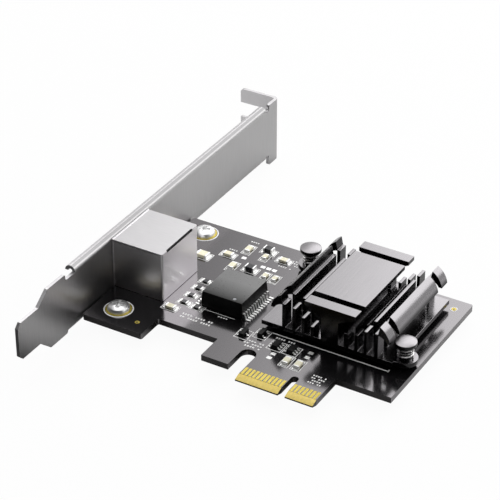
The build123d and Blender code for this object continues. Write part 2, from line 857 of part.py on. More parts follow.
for name, places in chips.items():
    with BuildPart() as bodies:
        for (length, width, height, cap), x, y, turn in places:
            with Locations(Location((x, y, part_z), (0, 0, turn))):
                Box(length - 2 * cap, width, height,
                    align=(Align.CENTER, Align.CENTER, Align.MIN))
    bodies.part.label = name + "_bodies"
    export_step(bodies.part, "parts/" + name + "_bodies.step")

    with BuildPart() as ends:
        for (length, width, height, cap), x, y, turn in places:
            with Locations(*end_cap_places(length, cap, x, y, part_z, turn)):
                Box(cap, width + 2 * cap_wrap, height + cap_wrap,
                    align=(Align.CENTER, Align.CENTER, Align.MIN))
    ends.part.label = name + "_ends"
    export_step(ends.part, "parts/" + name + "_ends.step")

# Small leaded chips: bodies and their bent legs
with BuildPart() as regulator_bodies:
    for x, y, width, left_legs, right_legs in regulators:
        with BuildSketch(Plane.XY.offset(board_top + module_standoff)):
            with Locations((x, y)):
                Rectangle(width, regulator_length)
        extrude(amount=regulator_height, taper=module_draft)

regulator_bodies.part.label = "regulator_bodies"
export_step(regulator_bodies.part, "parts/regulator_bodies.step")

with BuildPart() as regulator_legs:
    for x, y, width, left_legs, right_legs in regulators:
        for side, legs in ((-1, left_legs), (1, right_legs)):
            for leg_y in legs:
                start = Plane(
                    origin=(x + side * width / 2, y + leg_y + side * regulator_leg_width / 2,
                            board_top + pad_thickness),
                    x_dir=(side, 0, 0), z_dir=(0, -side, 0),
                )
                with BuildSketch(start):
                    Polygon(*lead_corners(regulator_leg, regulator_height / 2,
                                          regulator_leg_thickness), align=None)
                extrude(amount=regulator_leg_width)

regulator_legs.part.label = "regulator_legs"
export_step(regulator_legs.part, "parts/regulator_legs.step")

# Tinned pads under the chip parts, and a few that carry nothing
with BuildPart() as solder_pads:
    for places in chips.values():
        for (length, width, height, cap), x, y, turn in places:
            pad = cap + pad_inside + pad_overhang
            spread = length + 2 * pad_overhang
            with Locations(*end_cap_places(spread, pad, x, y, board_top, turn)):
                Box(pad, width + 0.2, pad_thickness,
                    align=(Align.CENTER, Align.CENTER, Align.MIN))
    with Locations(*[(x, y, board_top) for x, y in bare_pad_places]):
        Box(*bare_pad_size, pad_thickness, align=(Align.CENTER, Align.CENTER, Align.MIN))

solder_pads.part.label = "solder_pads"
export_step(solder_pads.part, "parts/solder_pads.step")

# Gold test dots
with BuildPart() as test_dots:
    with Locations(*[(x, y, board_top) for x, y in test_dot_places]):
        Cylinder(test_dot_radius, pad_thickness, align=(Align.CENTER, Align.CENTER, Align.MIN))

test_dots.part.label = "test_dots"
export_step(test_dots.part, "parts/test_dots.step")
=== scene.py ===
# %% [markdown]
# # A network card, dressed for its portrait
#
# The card's solids come from the CAD model, and they stay where they are. This file gives each of
# them a finish and most of them soft edges, adds the thin things that a solid model leaves out,
# such as print and solder, and sets up a small photo studio.

# %% Load the frame
import json
import math

import bpy
from mathutils import Matrix, Vector

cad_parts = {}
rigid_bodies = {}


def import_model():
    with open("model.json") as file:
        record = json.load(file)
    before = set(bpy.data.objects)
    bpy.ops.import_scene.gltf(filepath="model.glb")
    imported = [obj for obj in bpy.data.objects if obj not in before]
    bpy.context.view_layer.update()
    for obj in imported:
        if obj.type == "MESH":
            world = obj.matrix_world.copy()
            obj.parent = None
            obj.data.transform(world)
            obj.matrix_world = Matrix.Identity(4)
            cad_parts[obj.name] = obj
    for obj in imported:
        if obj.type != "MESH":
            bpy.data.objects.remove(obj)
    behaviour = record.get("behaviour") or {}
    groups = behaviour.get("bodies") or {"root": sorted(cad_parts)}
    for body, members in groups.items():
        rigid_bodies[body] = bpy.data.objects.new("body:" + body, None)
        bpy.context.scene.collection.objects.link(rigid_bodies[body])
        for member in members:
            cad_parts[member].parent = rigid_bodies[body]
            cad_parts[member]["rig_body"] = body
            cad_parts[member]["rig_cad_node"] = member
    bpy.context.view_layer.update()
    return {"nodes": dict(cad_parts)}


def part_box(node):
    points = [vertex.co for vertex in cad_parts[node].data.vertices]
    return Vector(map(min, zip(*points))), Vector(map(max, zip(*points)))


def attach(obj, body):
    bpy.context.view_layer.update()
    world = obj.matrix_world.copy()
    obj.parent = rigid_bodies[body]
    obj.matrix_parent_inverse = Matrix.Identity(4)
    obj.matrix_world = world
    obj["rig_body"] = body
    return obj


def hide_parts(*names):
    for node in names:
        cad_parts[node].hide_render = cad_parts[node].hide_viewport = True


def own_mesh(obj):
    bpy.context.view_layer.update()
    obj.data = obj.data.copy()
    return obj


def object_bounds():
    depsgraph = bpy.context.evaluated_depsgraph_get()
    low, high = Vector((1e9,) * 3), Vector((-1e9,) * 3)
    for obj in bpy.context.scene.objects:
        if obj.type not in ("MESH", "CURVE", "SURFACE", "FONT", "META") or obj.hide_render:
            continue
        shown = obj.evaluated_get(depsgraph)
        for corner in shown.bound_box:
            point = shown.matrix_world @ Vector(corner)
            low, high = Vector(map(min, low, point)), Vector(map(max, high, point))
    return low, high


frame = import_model()
scene = bpy.context.scene
mm = 0.001

# %% [markdown]
# ## Helpers for shaping
#
# An operator works on everything that is selected, so each helper first drops the selection.
# Finished pieces keep their object at the origin, with their place in the mesh: patterns that read
# Object coordinates then line up over the whole card.

# %% Selection and finishing helpers
def only(piece):
    """Selects one piece and makes it active."""
    bpy.ops.object.select_all(action="DESELECT")
    piece.select_set(True)
    bpy.context.view_layer.objects.active = piece


def settle(piece):
    """Moves the piece's place, turn and size into its mesh."""
    only(piece)
    bpy.ops.object.transform_apply(location=True, rotation=True, scale=True)


def smooth(piece, degrees=35):
    """Shades a piece smooth, apart from edges sharper than the angle."""
    only(piece)
    bpy.ops.object.shade_smooth_by_angle(angle=math.radians(degrees))


def edit(piece):
    """Opens a piece's mesh for editing, with all of it selected."""
    only(piece)
    bpy.ops.object.mode_set(mode="EDIT")
    bpy.ops.mesh.select_all(action="SELECT")


def thicken(depth):
    """Extrudes the flat mesh that is open for editing downwards, into a closed plate."""
    bpy.ops.mesh.select_all(action="SELECT")
    bpy.ops.mesh.extrude_region_move(TRANSFORM_OT_translate={"value": (0, 0, -depth)})
    bpy.ops.mesh.select_all(action="SELECT")
    bpy.ops.mesh.normals_make_consistent(inside=False)
    bpy.ops.object.mode_set(mode="OBJECT")


def join(pieces, name):
    """Joins several pieces into one mesh with that name."""
    bpy.ops.object.select_all(action="DESELECT")
    for piece in pieces:
        piece.select_set(True)
    bpy.context.view_layer.objects.active = pieces[0]
    bpy.ops.object.join()
    pieces[0].name = name
    return pieces[0]


def copy_moved(piece, step):
    """A copy of a finished piece, with a mesh of its own, moved by a step in metres."""
    only(piece)
    bpy.ops.object.duplicate()
    copied = bpy.context.view_layer.objects.active
    copied.location = step
    settle(copied)
    return copied


def dress(piece, material, body="card"):
    """Gives a piece its material and lets it ride on a body."""
    piece.data.materials.clear()
    piece.data.materials.append(material)
    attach(piece, body)


def box_mm(node):
    """The two corners of a node's box, in millimetres."""
    low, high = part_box(node)
    return low / mm, high / mm


# %% [markdown]
# ## Soft edges on sheet metal and mouldings
#
# No real edge is perfectly sharp: a folded bracket, a sawn extrusion and a moulded body all catch a
# thin line of light along their edges. A Bevel node in the material could fake that line, but the
# mesh would stay sharp, so the mesh itself is rounded. The CAD mesh is loose triangles: a
# copy of it is merged, its flat faces are dissolved into single ones, and a Bevel modifier rounds
# what is left. A Weighted Normal modifier then keeps the large faces flat, so that only the bevels
# shade as curves.

# %% A bevelled copy of a CAD node
merge_distance = 0.002 * mm
flat_angle = 0.8
bevel_angle = 30


def copy_of(node):
    """A free copy of a CAD node, open for editing and with its loose triangles merged."""
    only(frame["nodes"][node])
    bpy.ops.object.duplicate()
    piece = bpy.context.view_layer.objects.active
    piece.parent = None
    edit(piece)
    bpy.ops.mesh.remove_doubles(threshold=merge_distance)
    return piece


def soften(node, edge, smooth_angle, flat, body):
    """Replaces a CAD node with a copy whose sharp edges are rounded by edge millimetres."""
    piece = copy_of(node)
    piece.name = node + "_finished"
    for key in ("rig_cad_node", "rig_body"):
        if key in piece:
            del piece[key]
    bpy.ops.mesh.dissolve_limited(angle_limit=math.radians(flat_angle))
    bpy.ops.object.mode_set(mode="OBJECT")
    bpy.ops.mesh.customdata_custom_splitnormals_clear()
    bevel = piece.modifiers.new("soft_edges", "BEVEL")
    bevel.width = edge * mm
    bevel.segments = 2
    bevel.limit_method = "ANGLE"
    bevel.angle_limit = math.radians(bevel_angle)
    bevel.use_clamp_overlap = True
    bpy.ops.object.modifier_apply(modifier=bevel.name)
    smooth(piece, smooth_angle)
    if flat:
        weighted = piece.modifiers.new("flat_faces", "WEIGHTED_NORMAL")
        weighted.keep_sharp = True
        bpy.ops.object.modifier_apply(modifier=weighted.name)
    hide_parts(node)
    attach(piece, body)
    print(node, "softened:", len(piece.data.polygons), "faces")
    return piece


# %% [markdown]
# ## Where the small parts stand
#
# The printed frames and the solder have to line up with the chip parts and the wires. Their places
# could be typed in again, but a later change to the CAD model would leave them behind. So a copy of
# each node is merged and separated into its solids, which are measured and thrown away.

# %% Boxes of the small parts
def islands(node):
    """Boxes, in millimetres, of the separate solids in a CAD node, from left to right."""
    copy_of(node)
    bpy.ops.mesh.separate(type="LOOSE")
    bpy.ops.object.mode_set(mode="OBJECT")
    boxes = []
    for part in list(bpy.context.selected_objects):
        xs, ys, zs = zip(*[vertex.co for vertex in part.data.vertices])
        boxes.append((Vector((min(xs), min(ys), min(zs))) / mm,
                      Vector((max(xs), max(ys), max(zs))) / mm))
        bpy.data.objects.remove(part)
    return sorted(boxes, key=lambda box: tuple(box[0]))


def middle_of(box):
    return (box[0] + box[1]) / 2


part_boxes = {node: islands(node) for node in (
    "capacitor_bodies", "capacitor_ends", "filter_bodies", "filter_ends", "resistor_bodies",
    "resistor_ends", "regulator_bodies", "jack_contacts")}
print({node: len(boxes) for node, boxes in part_boxes.items()})

# %% [markdown]
# ## Helpers for finishes
#
# Every finish is a Principled shader with its fixed numbers on its own sockets. Grain, haze and
# small waves could come from pictures, but those would need an unwrapped mesh and could show seams.
# So they come from noise on Object coordinates, which are metres on this card. A Mapping node
# stretches the noise into grain. The surface normal says which way a face looks, where tops and
# flanks of a piece differ.

# %% Node helpers
def node_of(owner, kind):
    """A new node in the tree of a material or of the world."""
    return owner.node_tree.nodes.new(kind)


def link(owner, out_socket, in_socket):
    owner.node_tree.links.new(out_socket, in_socket)


def coordinate(owner, kind, axis):
    """One axis of the Object, Normal or Generated coordinates."""
    places = node_of(owner, "ShaderNodeTexCoord")
    axes = node_of(owner, "ShaderNodeSeparateXYZ")
    link(owner, places.outputs[kind], axes.inputs["Vector"])
    return axes.outputs[axis]


def calculate(owner, operation, *values):
    """A Math node; each value is a number or another node's output."""
    node = node_of(owner, "ShaderNodeMath")
    node.operation = operation
    for socket, value in zip(node.inputs, values):
        if isinstance(value, (int, float)):
            socket.default_value = value
        else:
            link(owner, value, socket)
    return node.outputs["Value"]


def ranged(owner, value, start, end, low=0.0, high=1.0, interpolation="LINEAR"):
    """Maps the range from start to end onto the range from low to high, and stops there."""
    node = node_of(owner, "ShaderNodeMapRange")
    node.interpolation_type = interpolation
    limits = {"From Min": start, "From Max": end, "To Min": low, "To Max": high}
    for socket, number in limits.items():
        node.inputs[socket].default_value = number
    link(owner, value, node.inputs["Value"])
    return node.outputs["Result"]


def mix_colours(material, factor, first, second, blend="MIX"):
    """Mixes two colours; the factor is a number or an output, and so is each colour."""
    node = node_of(material, "ShaderNodeMix")
    node.data_type = "RGBA"
    node.blend_type = blend
    for socket, value in (("Factor", factor), ("A", first), ("B", second)):
        if isinstance(value, float):
            node.inputs[socket].default_value = value
        elif isinstance(value, tuple):
            node.inputs[socket].default_value = (*value, 1)
        else:
            link(material, value, node.inputs[socket])
    return node.outputs["Result"]


# %% Material helpers
def finish(name, colour, metallic=0.0, roughness=0.4, **sockets):
    """A Principled material with its fixed values set."""
    material = bpy.data.materials.new(name)
    material.use_nodes = True
    shader = material.node_tree.nodes["Principled BSDF"]
    shader.inputs["Base Color"].default_value = (*colour, 1)
    shader.inputs["Metallic"].default_value = metallic
    shader.inputs["Roughness"].default_value = roughness
    for socket, value in sockets.items():
        shader.inputs[socket.replace("_", " ")].default_value = value
    return material


def drive(material, value, socket):
    """Lets a node's output set one socket of the material's shader."""
    link(material, value, material.node_tree.nodes["Principled BSDF"].inputs[socket])


def grain(material, scale, stretch=(1, 1, 1), detail=4.0):
    """Noise on Object coordinates; scale is in waves per metre, stretch squeezes each axis."""
    coordinates = node_of(material, "ShaderNodeTexCoord")
    mapping = node_of(material, "ShaderNodeMapping")
    mapping.inputs["Scale"].default_value = stretch
    noise = node_of(material, "ShaderNodeTexNoise")
    noise.inputs["Scale"].default_value = scale
    noise.inputs["Detail"].default_value = detail
    link(material, coordinates.outputs["Object"], mapping.inputs["Vector"])
    link(material, mapping.outputs["Vector"], noise.inputs["Vector"])
    return noise.outputs["Fac"]


def spread(material, value, low=0.0, high=1.0):
    """Maps the middle of a noise value onto the range from low to high."""
    return ranged(material, value, 0.3, 0.7, low, high)


def speckle(material, value, dark, light):
    """A colour that wanders between two others with the noise."""
    return mix_colours(material, spread(material, value), dark, light)


def facing(material, axis, low, high):
    """A factor of 0 where the surface turns away from an axis and 1 where it faces along it."""
    return ranged(material, coordinate(material, "Normal", axis), low, high)


def along(material, axis, start, end):
    """A factor that grows from 0 to 1 between two places, in millimetres, on an axis."""
    return ranged(material, coordinate(material, "Object", axis), start * mm, end * mm)


def by_side(material, axis, stops):
    """A colour that depends on how far the surface faces along an axis, from -1 to 1."""
    ramp = node_of(material, "ShaderNodeValToRGB")
    link(material, facing(material, axis, -1, 1), ramp.inputs["Fac"])
    while len(ramp.color_ramp.elements) < len(stops):
        ramp.color_ramp.elements.new(0.5)
    for element, (place, colour) in zip(ramp.color_ramp.elements, stops):
        element.position = (place + 1) / 2
        element.color = (*colour, 1)
    return ramp.outputs["Color"]


def vary_roughness(material, value, low, high):
    drive(material, spread(material, value, low, high), "Roughness")


def vary_colour(material, value, dark, light):
    drive(material, speckle(material, value, dark, light), "Base Color")


def roughen(material, value, distance, strength=1.0):
    """Small waves in the surface; distance is their height in millimetres."""
    bump = node_of(material, "ShaderNodeBump")
    bump.inputs["Distance"].default_value = distance * mm
    bump.inputs["Strength"].default_value = strength
    link(material, value, bump.inputs["Height"])
    drive(material, bump.outputs["Normal"], "Normal")


# %% [markdown]
# ## Solder mask and bare laminate
#
# The board is glass fibre under a glossy black mask. The mask stops short of the bevel at the edge
# connector, where the golden laminate shows, and the sawn edges are dark and dull. The edge at the
# far end keeps the mask's gloss instead: a painted highlight on the side that faces the light. The
# faces could be picked by hand and given a material each, but the rounded edges between them would
# have to be picked too. So one material does all of it: Object coordinates say where the bevel is,
# and the surface normal says what is an edge.

# %% Board material
bevel_top = 1.85
edge_slope = 0.3
lit_end_slope = 0.5
mask_black = (0.003, 0.0029, 0.0032)
mask_grey = (0.006, 0.0058, 0.0064)
laminate_gold = (0.72, 0.55, 0.11)
laminate_pale = (0.84, 0.64, 0.14)
laminate_edge = (0.012, 0.011, 0.010)
mask_gloss = 0.5
bare_gloss = 0.08

board_finish = finish("solder_mask", mask_black, roughness=0.14, IOR=2.28,
                      Specular_Tint=(1.0, 0.955, 0.99, 1))
mask_shade = speckle(board_finish, grain(board_finish, 900), mask_black, mask_grey)
laminate_shade = speckle(board_finish, grain(board_finish, 2500, (1, 0.2, 1)),
                         laminate_gold, laminate_pale)
on_bevel = calculate(board_finish, "LESS_THAN", coordinate(board_finish, "Object", "Y"),
                     bevel_top * mm)
upright = calculate(board_finish, "ABSOLUTE", coordinate(board_finish, "Normal", "Z"))
is_edge = calculate(board_finish, "LESS_THAN", upright, edge_slope)
# The edge at the far end faces the light and keeps the mask's gloss: a painted highlight.
away_from_lit_end = calculate(board_finish, "LESS_THAN", coordinate(board_finish, "Normal", "X"),
                      lit_end_slope)
is_dull = calculate(board_finish, "MAXIMUM",
                    calculate(board_finish, "MINIMUM", is_edge, away_from_lit_end), on_bevel)
face_shade = mix_colours(board_finish, on_bevel, mask_shade, laminate_shade)
drive(board_finish, mix_colours(board_finish, is_edge, face_shade, laminate_edge), "Base Color")
drive(board_finish,
      calculate(board_finish, "MULTIPLY_ADD", is_dull, bare_gloss - mask_gloss, mask_gloss),
      "Specular IOR Level")
roughen(board_finish, grain(board_finish, 220, detail=1.0), 0.0006)
print("laminate is bare up to", bevel_top, "mm, nodes:", len(board_finish.node_tree.nodes))

# %% [markdown]
# ## Metals
#
# Nickel plate on the folded bracket has a fine grain that runs across the sheet. Bright tinplate
# covers the jack, and gold plates the contacts. The heatsink is black anodised aluminium, whose
# extrusion lines run along its fins. Stretched noise gives the grain and the lines.
#
# A real plating has one colour all over. In the photograph the nickel is duller where the sheet
# rolls over and brighter towards the tongue, the tinplate is brightest on the jack's back, and the
# heatsink's flanks are nearly black, because of what they mirror there. More lamps and cards in the
# studio could give that. Here the colour changes with the side and the place instead, which is
# simpler, but suits this light only.

# %% Nickel and tinplate
nickel = finish("satin_nickel", (0.4, 0.395, 0.397), metallic=1.0, roughness=0.34)
nickel_grain = grain(nickel, 260, (1, 12, 0.6), detail=6.0)
nickel_sides = by_side(nickel, "X", ((0.05, (0.6, 0.59, 0.6)), (0.2, (0.21, 0.207, 0.21)),
                                     (0.6, (0.21, 0.207, 0.21)), (0.74, (0.4, 0.395, 0.397))))
nickel_patches = speckle(nickel, nickel_grain, (0.94, 0.94, 0.94), (1.05, 1.05, 1.05))
nickel_reach = mix_colours(nickel, along(nickel, "Y", 18, -18), (1.0, 1.0, 1.0), (1.4, 1.4, 1.4))
nickel_shade = mix_colours(nickel, 1.0, nickel_sides, nickel_patches, "MULTIPLY")
drive(nickel, mix_colours(nickel, 1.0, nickel_shade, nickel_reach, "MULTIPLY"), "Base Color")
vary_roughness(nickel, nickel_grain, 0.31, 0.38)
roughen(nickel, nickel_grain, 0.0012)

tinplate = finish("tinplate", (0.66, 0.65, 0.66), metallic=1.0, roughness=0.3)
tinplate_shade = speckle(tinplate, grain(tinplate, 300, (1, 8, 1)),
                         (0.59, 0.58, 0.59), (0.62, 0.61, 0.62))
drive(tinplate, mix_colours(tinplate, facing(tinplate, "X", 0.5, 0.9), tinplate_shade,
                            (0.9, 0.88, 0.9)), "Base Color")
vary_roughness(tinplate, grain(tinplate, 1200, (1, 0.15, 1)), 0.29, 0.33)
roughen(tinplate, grain(tinplate, 120, detail=1.0), 0.004, 0.5)

# %% Gold, steel, tin and anodised aluminium
gold = finish("gold_plate", (0.56, 0.44, 0.08), metallic=0.7, roughness=0.4)
vary_roughness(gold, grain(gold, 3000, (1, 0.3, 1)), 0.34, 0.46)
vary_colour(gold, grain(gold, 600), (0.53, 0.42, 0.07), (0.6, 0.48, 0.1))

screw_steel = finish("bright_screw", (0.88, 0.88, 0.88), metallic=1.0, roughness=0.38)
vary_roughness(screw_steel, grain(screw_steel, 1500), 0.34, 0.42)

tin = finish("tinned_ends", (0.9, 0.9, 0.89), metallic=0.75, roughness=0.4)
vary_roughness(tin, grain(tin, 2500), 0.34, 0.48)
roughen(tin, grain(tin, 1800, detail=2.0), 0.006)

spring_steel = finish("spring_steel", (0.6, 0.59, 0.59), metallic=1.0, roughness=0.28)
vary_roughness(spring_steel, grain(spring_steel, 2000), 0.22, 0.35)

anodised = finish("black_anodised", (0.24, 0.232, 0.24), metallic=1.0, roughness=0.2)
draw_lines = grain(anodised, 420, (9, 0.3, 9), detail=4.0)
# Lighter tops and near-black flanks are painted reflection and painted shade, set by how each face
# turns to the light; the draw lines vary the tops a little.
draw_lines_and_top_sheen = speckle(anodised, draw_lines, (0.23, 0.222, 0.23), (0.25, 0.242, 0.25))
drive(anodised, mix_colours(anodised, facing(anodised, "Z", 0.2, 0.38), (0.03, 0.029, 0.03),
                            draw_lines_and_top_sheen), "Base Color")
vary_roughness(anodised, draw_lines, 0.18, 0.22)
roughen(anodised, draw_lines, 0.0002)

# %% [markdown]
# ## Plastics, ceramics and print
#
# Moulded bodies have a fine sand-like skin from the mould. The capacitors are pale ceramic, and the
# print is a thin layer of white ink. The skin could be modelled, but it is far finer than a pixel,
# so a Bump node is enough. As with the metals, two changes imitate the light of the photograph: the
# moulded tops shine more the further they are from the edge connector, and the nylon pins are dark
# on their flanks.

# %% Plastics
mould = finish("moulded_epoxy", (0.006, 0.006, 0.006), roughness=0.3, IOR=1.9)
lit_top = calculate(mould, "MULTIPLY", facing(mould, "Z", 0.3, 0.9), along(mould, "Y", 20.3, 28.5))
drive(mould, calculate(mould, "MULTIPLY_ADD", lit_top, 0.76, 0.04), "Specular IOR Level")
vary_roughness(mould, grain(mould, 1500), 0.26, 0.38)
roughen(mould, grain(mould, 5000, detail=3.0), 0.0025)

jack_plastic = finish("jack_plastic", (0.02, 0.02, 0.021), roughness=0.45)
vary_roughness(jack_plastic, grain(jack_plastic, 1200), 0.38, 0.55)
roughen(jack_plastic, grain(jack_plastic, 3500, detail=3.0), 0.008)

nylon = finish("black_nylon", (0.28, 0.27, 0.28), metallic=1.0, roughness=0.3)
nylon_grain = grain(nylon, 500)
# Lighter tops and near-black flanks are painted reflection and painted shade, set by how each face
# turns to the light; the grain varies the tops a little.
nylon_grain_and_top_sheen = speckle(nylon, nylon_grain, (0.265, 0.255, 0.265), (0.295, 0.285, 0.295))
drive(nylon, mix_colours(nylon, facing(nylon, "Z", 0.5, 0.9), (0.02, 0.02, 0.021), nylon_grain_and_top_sheen),
      "Base Color")
vary_roughness(nylon, nylon_grain, 0.28, 0.33)
roughen(nylon, grain(nylon, 2600, detail=2.0), 0.0002)

# %% Ceramic, glaze, lamp windows and ink
ceramic = finish("capacitor_ceramic", (0.92, 0.88, 0.68), roughness=0.42)
vary_colour(ceramic, grain(ceramic, 2600), (0.88, 0.83, 0.58), (0.96, 0.93, 0.76))

resistor_black = finish("resistor_glaze", (0.03, 0.03, 0.034), roughness=0.25)
vary_roughness(resistor_black, grain(resistor_black, 3000), 0.2, 0.35)

thermal_grey = finish("thermal_pad", (0.42, 0.43, 0.45), roughness=0.8)
vary_colour(thermal_grey, grain(thermal_grey, 900), (0.36, 0.37, 0.39), (0.48, 0.49, 0.51))

lamp_green = finish("lamp_window", (0.3, 0.55, 0.18), roughness=0.3)
vary_colour(lamp_green, grain(lamp_green, 1500), (0.24, 0.48, 0.14), (0.36, 0.62, 0.24))

ink = finish("white_ink", (0.9, 0.9, 0.89), roughness=0.55)
vary_colour(ink, grain(ink, 4000), (0.84, 0.84, 0.83), (0.94, 0.94, 0.93))

print("materials:", len(bpy.data.materials))

# %% [markdown]
# ## Dress the CAD nodes
#
# Nodes with edges that catch the light get a softened copy. Tiny or hidden ones would only gain
# triangles from that, so they keep the CAD mesh and get just their finish. Turned parts keep their
# round faces smooth.

# %% Softened pieces
softened = {
    "circuit_board": (0.08, board_finish, "board"),
    "bracket": (0.13, nickel, "nickel"),
    "jack_shield": (0.07, tinplate, "tinplate"),
    "jack_housing": (0.1, jack_plastic, "black_plastic"),
    "magnetics_body": (0.16, mould, "mould_black"),
    "heatsink": (0.22, anodised, "black_anodised"),
    "capacitor_bodies": (0.08, ceramic, "capacitor_cream"),
    "capacitor_ends": (0.1, tin, "tin"),
    "filter_bodies": (0.07, resistor_black, "resistor_black"),
    "filter_ends": (0.07, tin, "tin"),
    "resistor_bodies": (0.05, resistor_black, "resistor_black"),
    "resistor_ends": (0.06, tin, "tin"),
    "regulator_bodies": (0.08, mould, "mould_black"),
    "push_pin_left": (0.1, nylon, "black_nylon"),
    "push_pin_right": (0.1, nylon, "black_nylon"),
    "bracket_screws": (0.06, screw_steel, "screw_steel"),
}
turned = ("push_pin_left", "push_pin_right", "bracket_screws")
moving = {"push_pin_left": "left_pin", "push_pin_right": "right_pin"}
for node, (edge, material, slot) in softened.items():
    is_turned = node in turned
    body = moving.get(node, "card")
    piece = soften(node, edge, smooth_angle=50 if is_turned else 35, flat=not is_turned, body=body)
    dress(piece, material, body)

# %% Nodes that keep their CAD mesh
kept = {
    "edge_contacts_top": (gold, "gold"),
    "edge_contacts_bottom": (gold, "gold"),
    "screw_pads": (gold, "gold"),
    "test_dots": (gold, "gold"),
    "jack_contacts": (gold, "gold"),
    "jack_lamps": (lamp_green, "green_lamp"),
    "magnetics_leads": (tin, "tin"),
    "regulator_legs": (tin, "tin"),
    "solder_pads": (tin, "tin"),
    "controller_chip": (mould, "mould_black"),
    "thermal_pad": (thermal_grey, "thermal_grey"),
    "pin_spring_left": (spring_steel, "spring_steel"),
    "pin_spring_right": (spring_steel, "spring_steel"),
}
for node, (material, slot) in kept.items():
    solid = frame["nodes"][node]
    solid.data.materials.clear()
    solid.data.materials.append(material)
print("softened:", len(softened), "kept:", len(kept))

# %% [markdown]
# ## The springs
#
# Each coil spring stands on the heatsink's ear and is pressed by its pin's head. It can't ride on
# one body only, so each spring is given a mesh of its own here.

# %% Springs
for side in ("left", "right"):
    low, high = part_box("pin_spring_" + side)
    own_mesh(frame["nodes"]["pin_spring_" + side])

# %% [markdown]
# ## White print on the board
#
# The print is a film of ink two hundredths of a millimetre thick: rings round the screws and the
# sighting dot, lines in front of the heatsink and of the transformer module, frames round the chip
# parts, and rows of short dashes in the free places between them. It could be drawn in the board's
# material, but it would then be missing from the meshes. So bars start as a plane that is
# extruded down to the board, and rings as a circle that is extruded inwards first. Dashes and rings
# that repeat are copies of the first one.

# %% Ink helpers
board_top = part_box("circuit_board")[1].z
ink_height = 0.02 * mm
frame_line = 0.2
gap_every = 5
gap_shift = 2
dash_length_share = 0.62
dash_width_share = 0.5
ink_pieces = []


def ink_bar(x, y, length, width):
    """A thin bar of ink on the board, centred at x, y in millimetres."""
    bpy.ops.object.select_all(action="DESELECT")
    bpy.ops.mesh.primitive_plane_add(size=1, location=(x * mm, y * mm, board_top + ink_height))
    bar = bpy.context.active_object
    bar.scale = (length * mm, width * mm, 1)
    settle(bar)
    edit(bar)
    thicken(ink_height)
    ink_pieces.append(bar)
    return bar


def ink_ring(x, y, outer, inner, vertices=48):
    """A thin ring of ink on the board, with its two radii in millimetres."""
    bpy.ops.object.select_all(action="DESELECT")
    bpy.ops.mesh.primitive_circle_add(
        vertices=vertices, radius=outer * mm, location=(x * mm, y * mm, board_top + ink_height))
    ring = bpy.context.active_object
    settle(ring)
    edit(ring)
    bpy.ops.mesh.extrude_edges_move(TRANSFORM_OT_translate={"value": (0, 0, 0)})
    share = inner / outer
    bpy.ops.transform.resize(value=(share, share, 1), center_override=(x * mm, y * mm, board_top))
    thicken(ink_height)
    ink_pieces.append(ring)
    return ring


def ink_copy(piece, step_x, step_y):
    """Prints a piece of ink once more, a step in millimetres away."""
    ink_pieces.append(copy_moved(piece, (step_x * mm, step_y * mm, 0)))


def ink_frame(low_x, low_y, high_x, high_y):
    """Four bars of ink that frame a part."""
    x, y = (low_x + high_x) / 2, (low_y + high_y) / 2
    for edge_y in (low_y, high_y):
        ink_bar(x, edge_y, high_x - low_x + frame_line, frame_line)
    for edge_x in (low_x, high_x):
        ink_bar(edge_x, y, frame_line, high_y - low_y - frame_line)


def dash_rows(x, y, columns, rows, step, row_step):
    """Rows of short dashes with a gap in every five; x, y is the first dash's place."""
    first = ink_bar(x, y, dash_length_share * step, dash_width_share * row_step)
    for row in range(rows):
        for column in range(columns):
            is_first = row == 0 and column == 0
            is_gap = (column + gap_shift * row) % gap_every == gap_every - 1
            if not is_first and not is_gap:
                ink_copy(first, column * step, -row * row_step)


# %% Rings round the screws and the sighting dot
screw_ring_gap = 0.14
screw_ring_reach = 0.46
pads_low, pads_high = box_mm("screw_pads")
pad_radius = (pads_high.x - pads_low.x) / 2
screw_ring = ink_ring(pads_low.x + pad_radius, pads_low.y + pad_radius,
                      pad_radius + screw_ring_reach, pad_radius + screw_ring_gap)
ink_copy(screw_ring, 0, pads_high.y - pads_low.y - 2 * pad_radius)

dot_ring_gap = 0.15
dot_ring_reach = 0.35
dot_radius = 0.6
dots_low, dots_high = box_mm("test_dots")
left_dot = (dots_low.x + dot_radius, dots_low.y + dot_radius)
right_dot = (dots_high.x - dot_radius, dots_high.y - dot_radius)
ink_ring(*right_dot, dot_radius + dot_ring_reach, dot_radius + dot_ring_gap, vertices=32)
print("rings:", len(ink_pieces))

# %% Lines in front of the heatsink and of the transformer module
sink_front = box_mm("heatsink")[0].y
# Centre x, centre y, length along x, width along y
printed_lines = (
    (0.35, sink_front - 0.55, 33.5, 0.36),
    (17.1, sink_front - 0.35, 0.28, 1.0),
    (-29.6, 20.05, 10.9, 0.2),
)
for printed_line in printed_lines:
    ink_bar(*printed_line)
print("rings and lines:", len(ink_pieces))

# %% Frames round the chip parts
pad_reach = 0.85
side_reach = 0.4
leg_reach = 1.05
same_column = 0.5

for kind in ("resistor", "capacitor", "filter"):
    for body in part_boxes[kind + "_bodies"]:
        ends = sorted(part_boxes[kind + "_ends"],
                      key=lambda end: (middle_of(end) - middle_of(body)).length)[:2]
        low_x, low_y = (min(end[0][i] for end in ends) for i in (0, 1))
        high_x, high_y = (max(end[1][i] for end in ends) for i in (0, 1))
        runs_along_y = abs(middle_of(ends[0]).x - middle_of(ends[1]).x) < same_column
        reach_x, reach_y = (side_reach, pad_reach) if runs_along_y else (pad_reach, side_reach)
        ink_frame(low_x - reach_x, low_y - reach_y, high_x + reach_x, high_y + reach_y)

for low, high in part_boxes["regulator_bodies"]:
    ink_frame(low.x - leg_reach, low.y - side_reach, high.x + leg_reach, high.y + side_reach)
print("rings, lines and bars of frames:", len(ink_pieces))

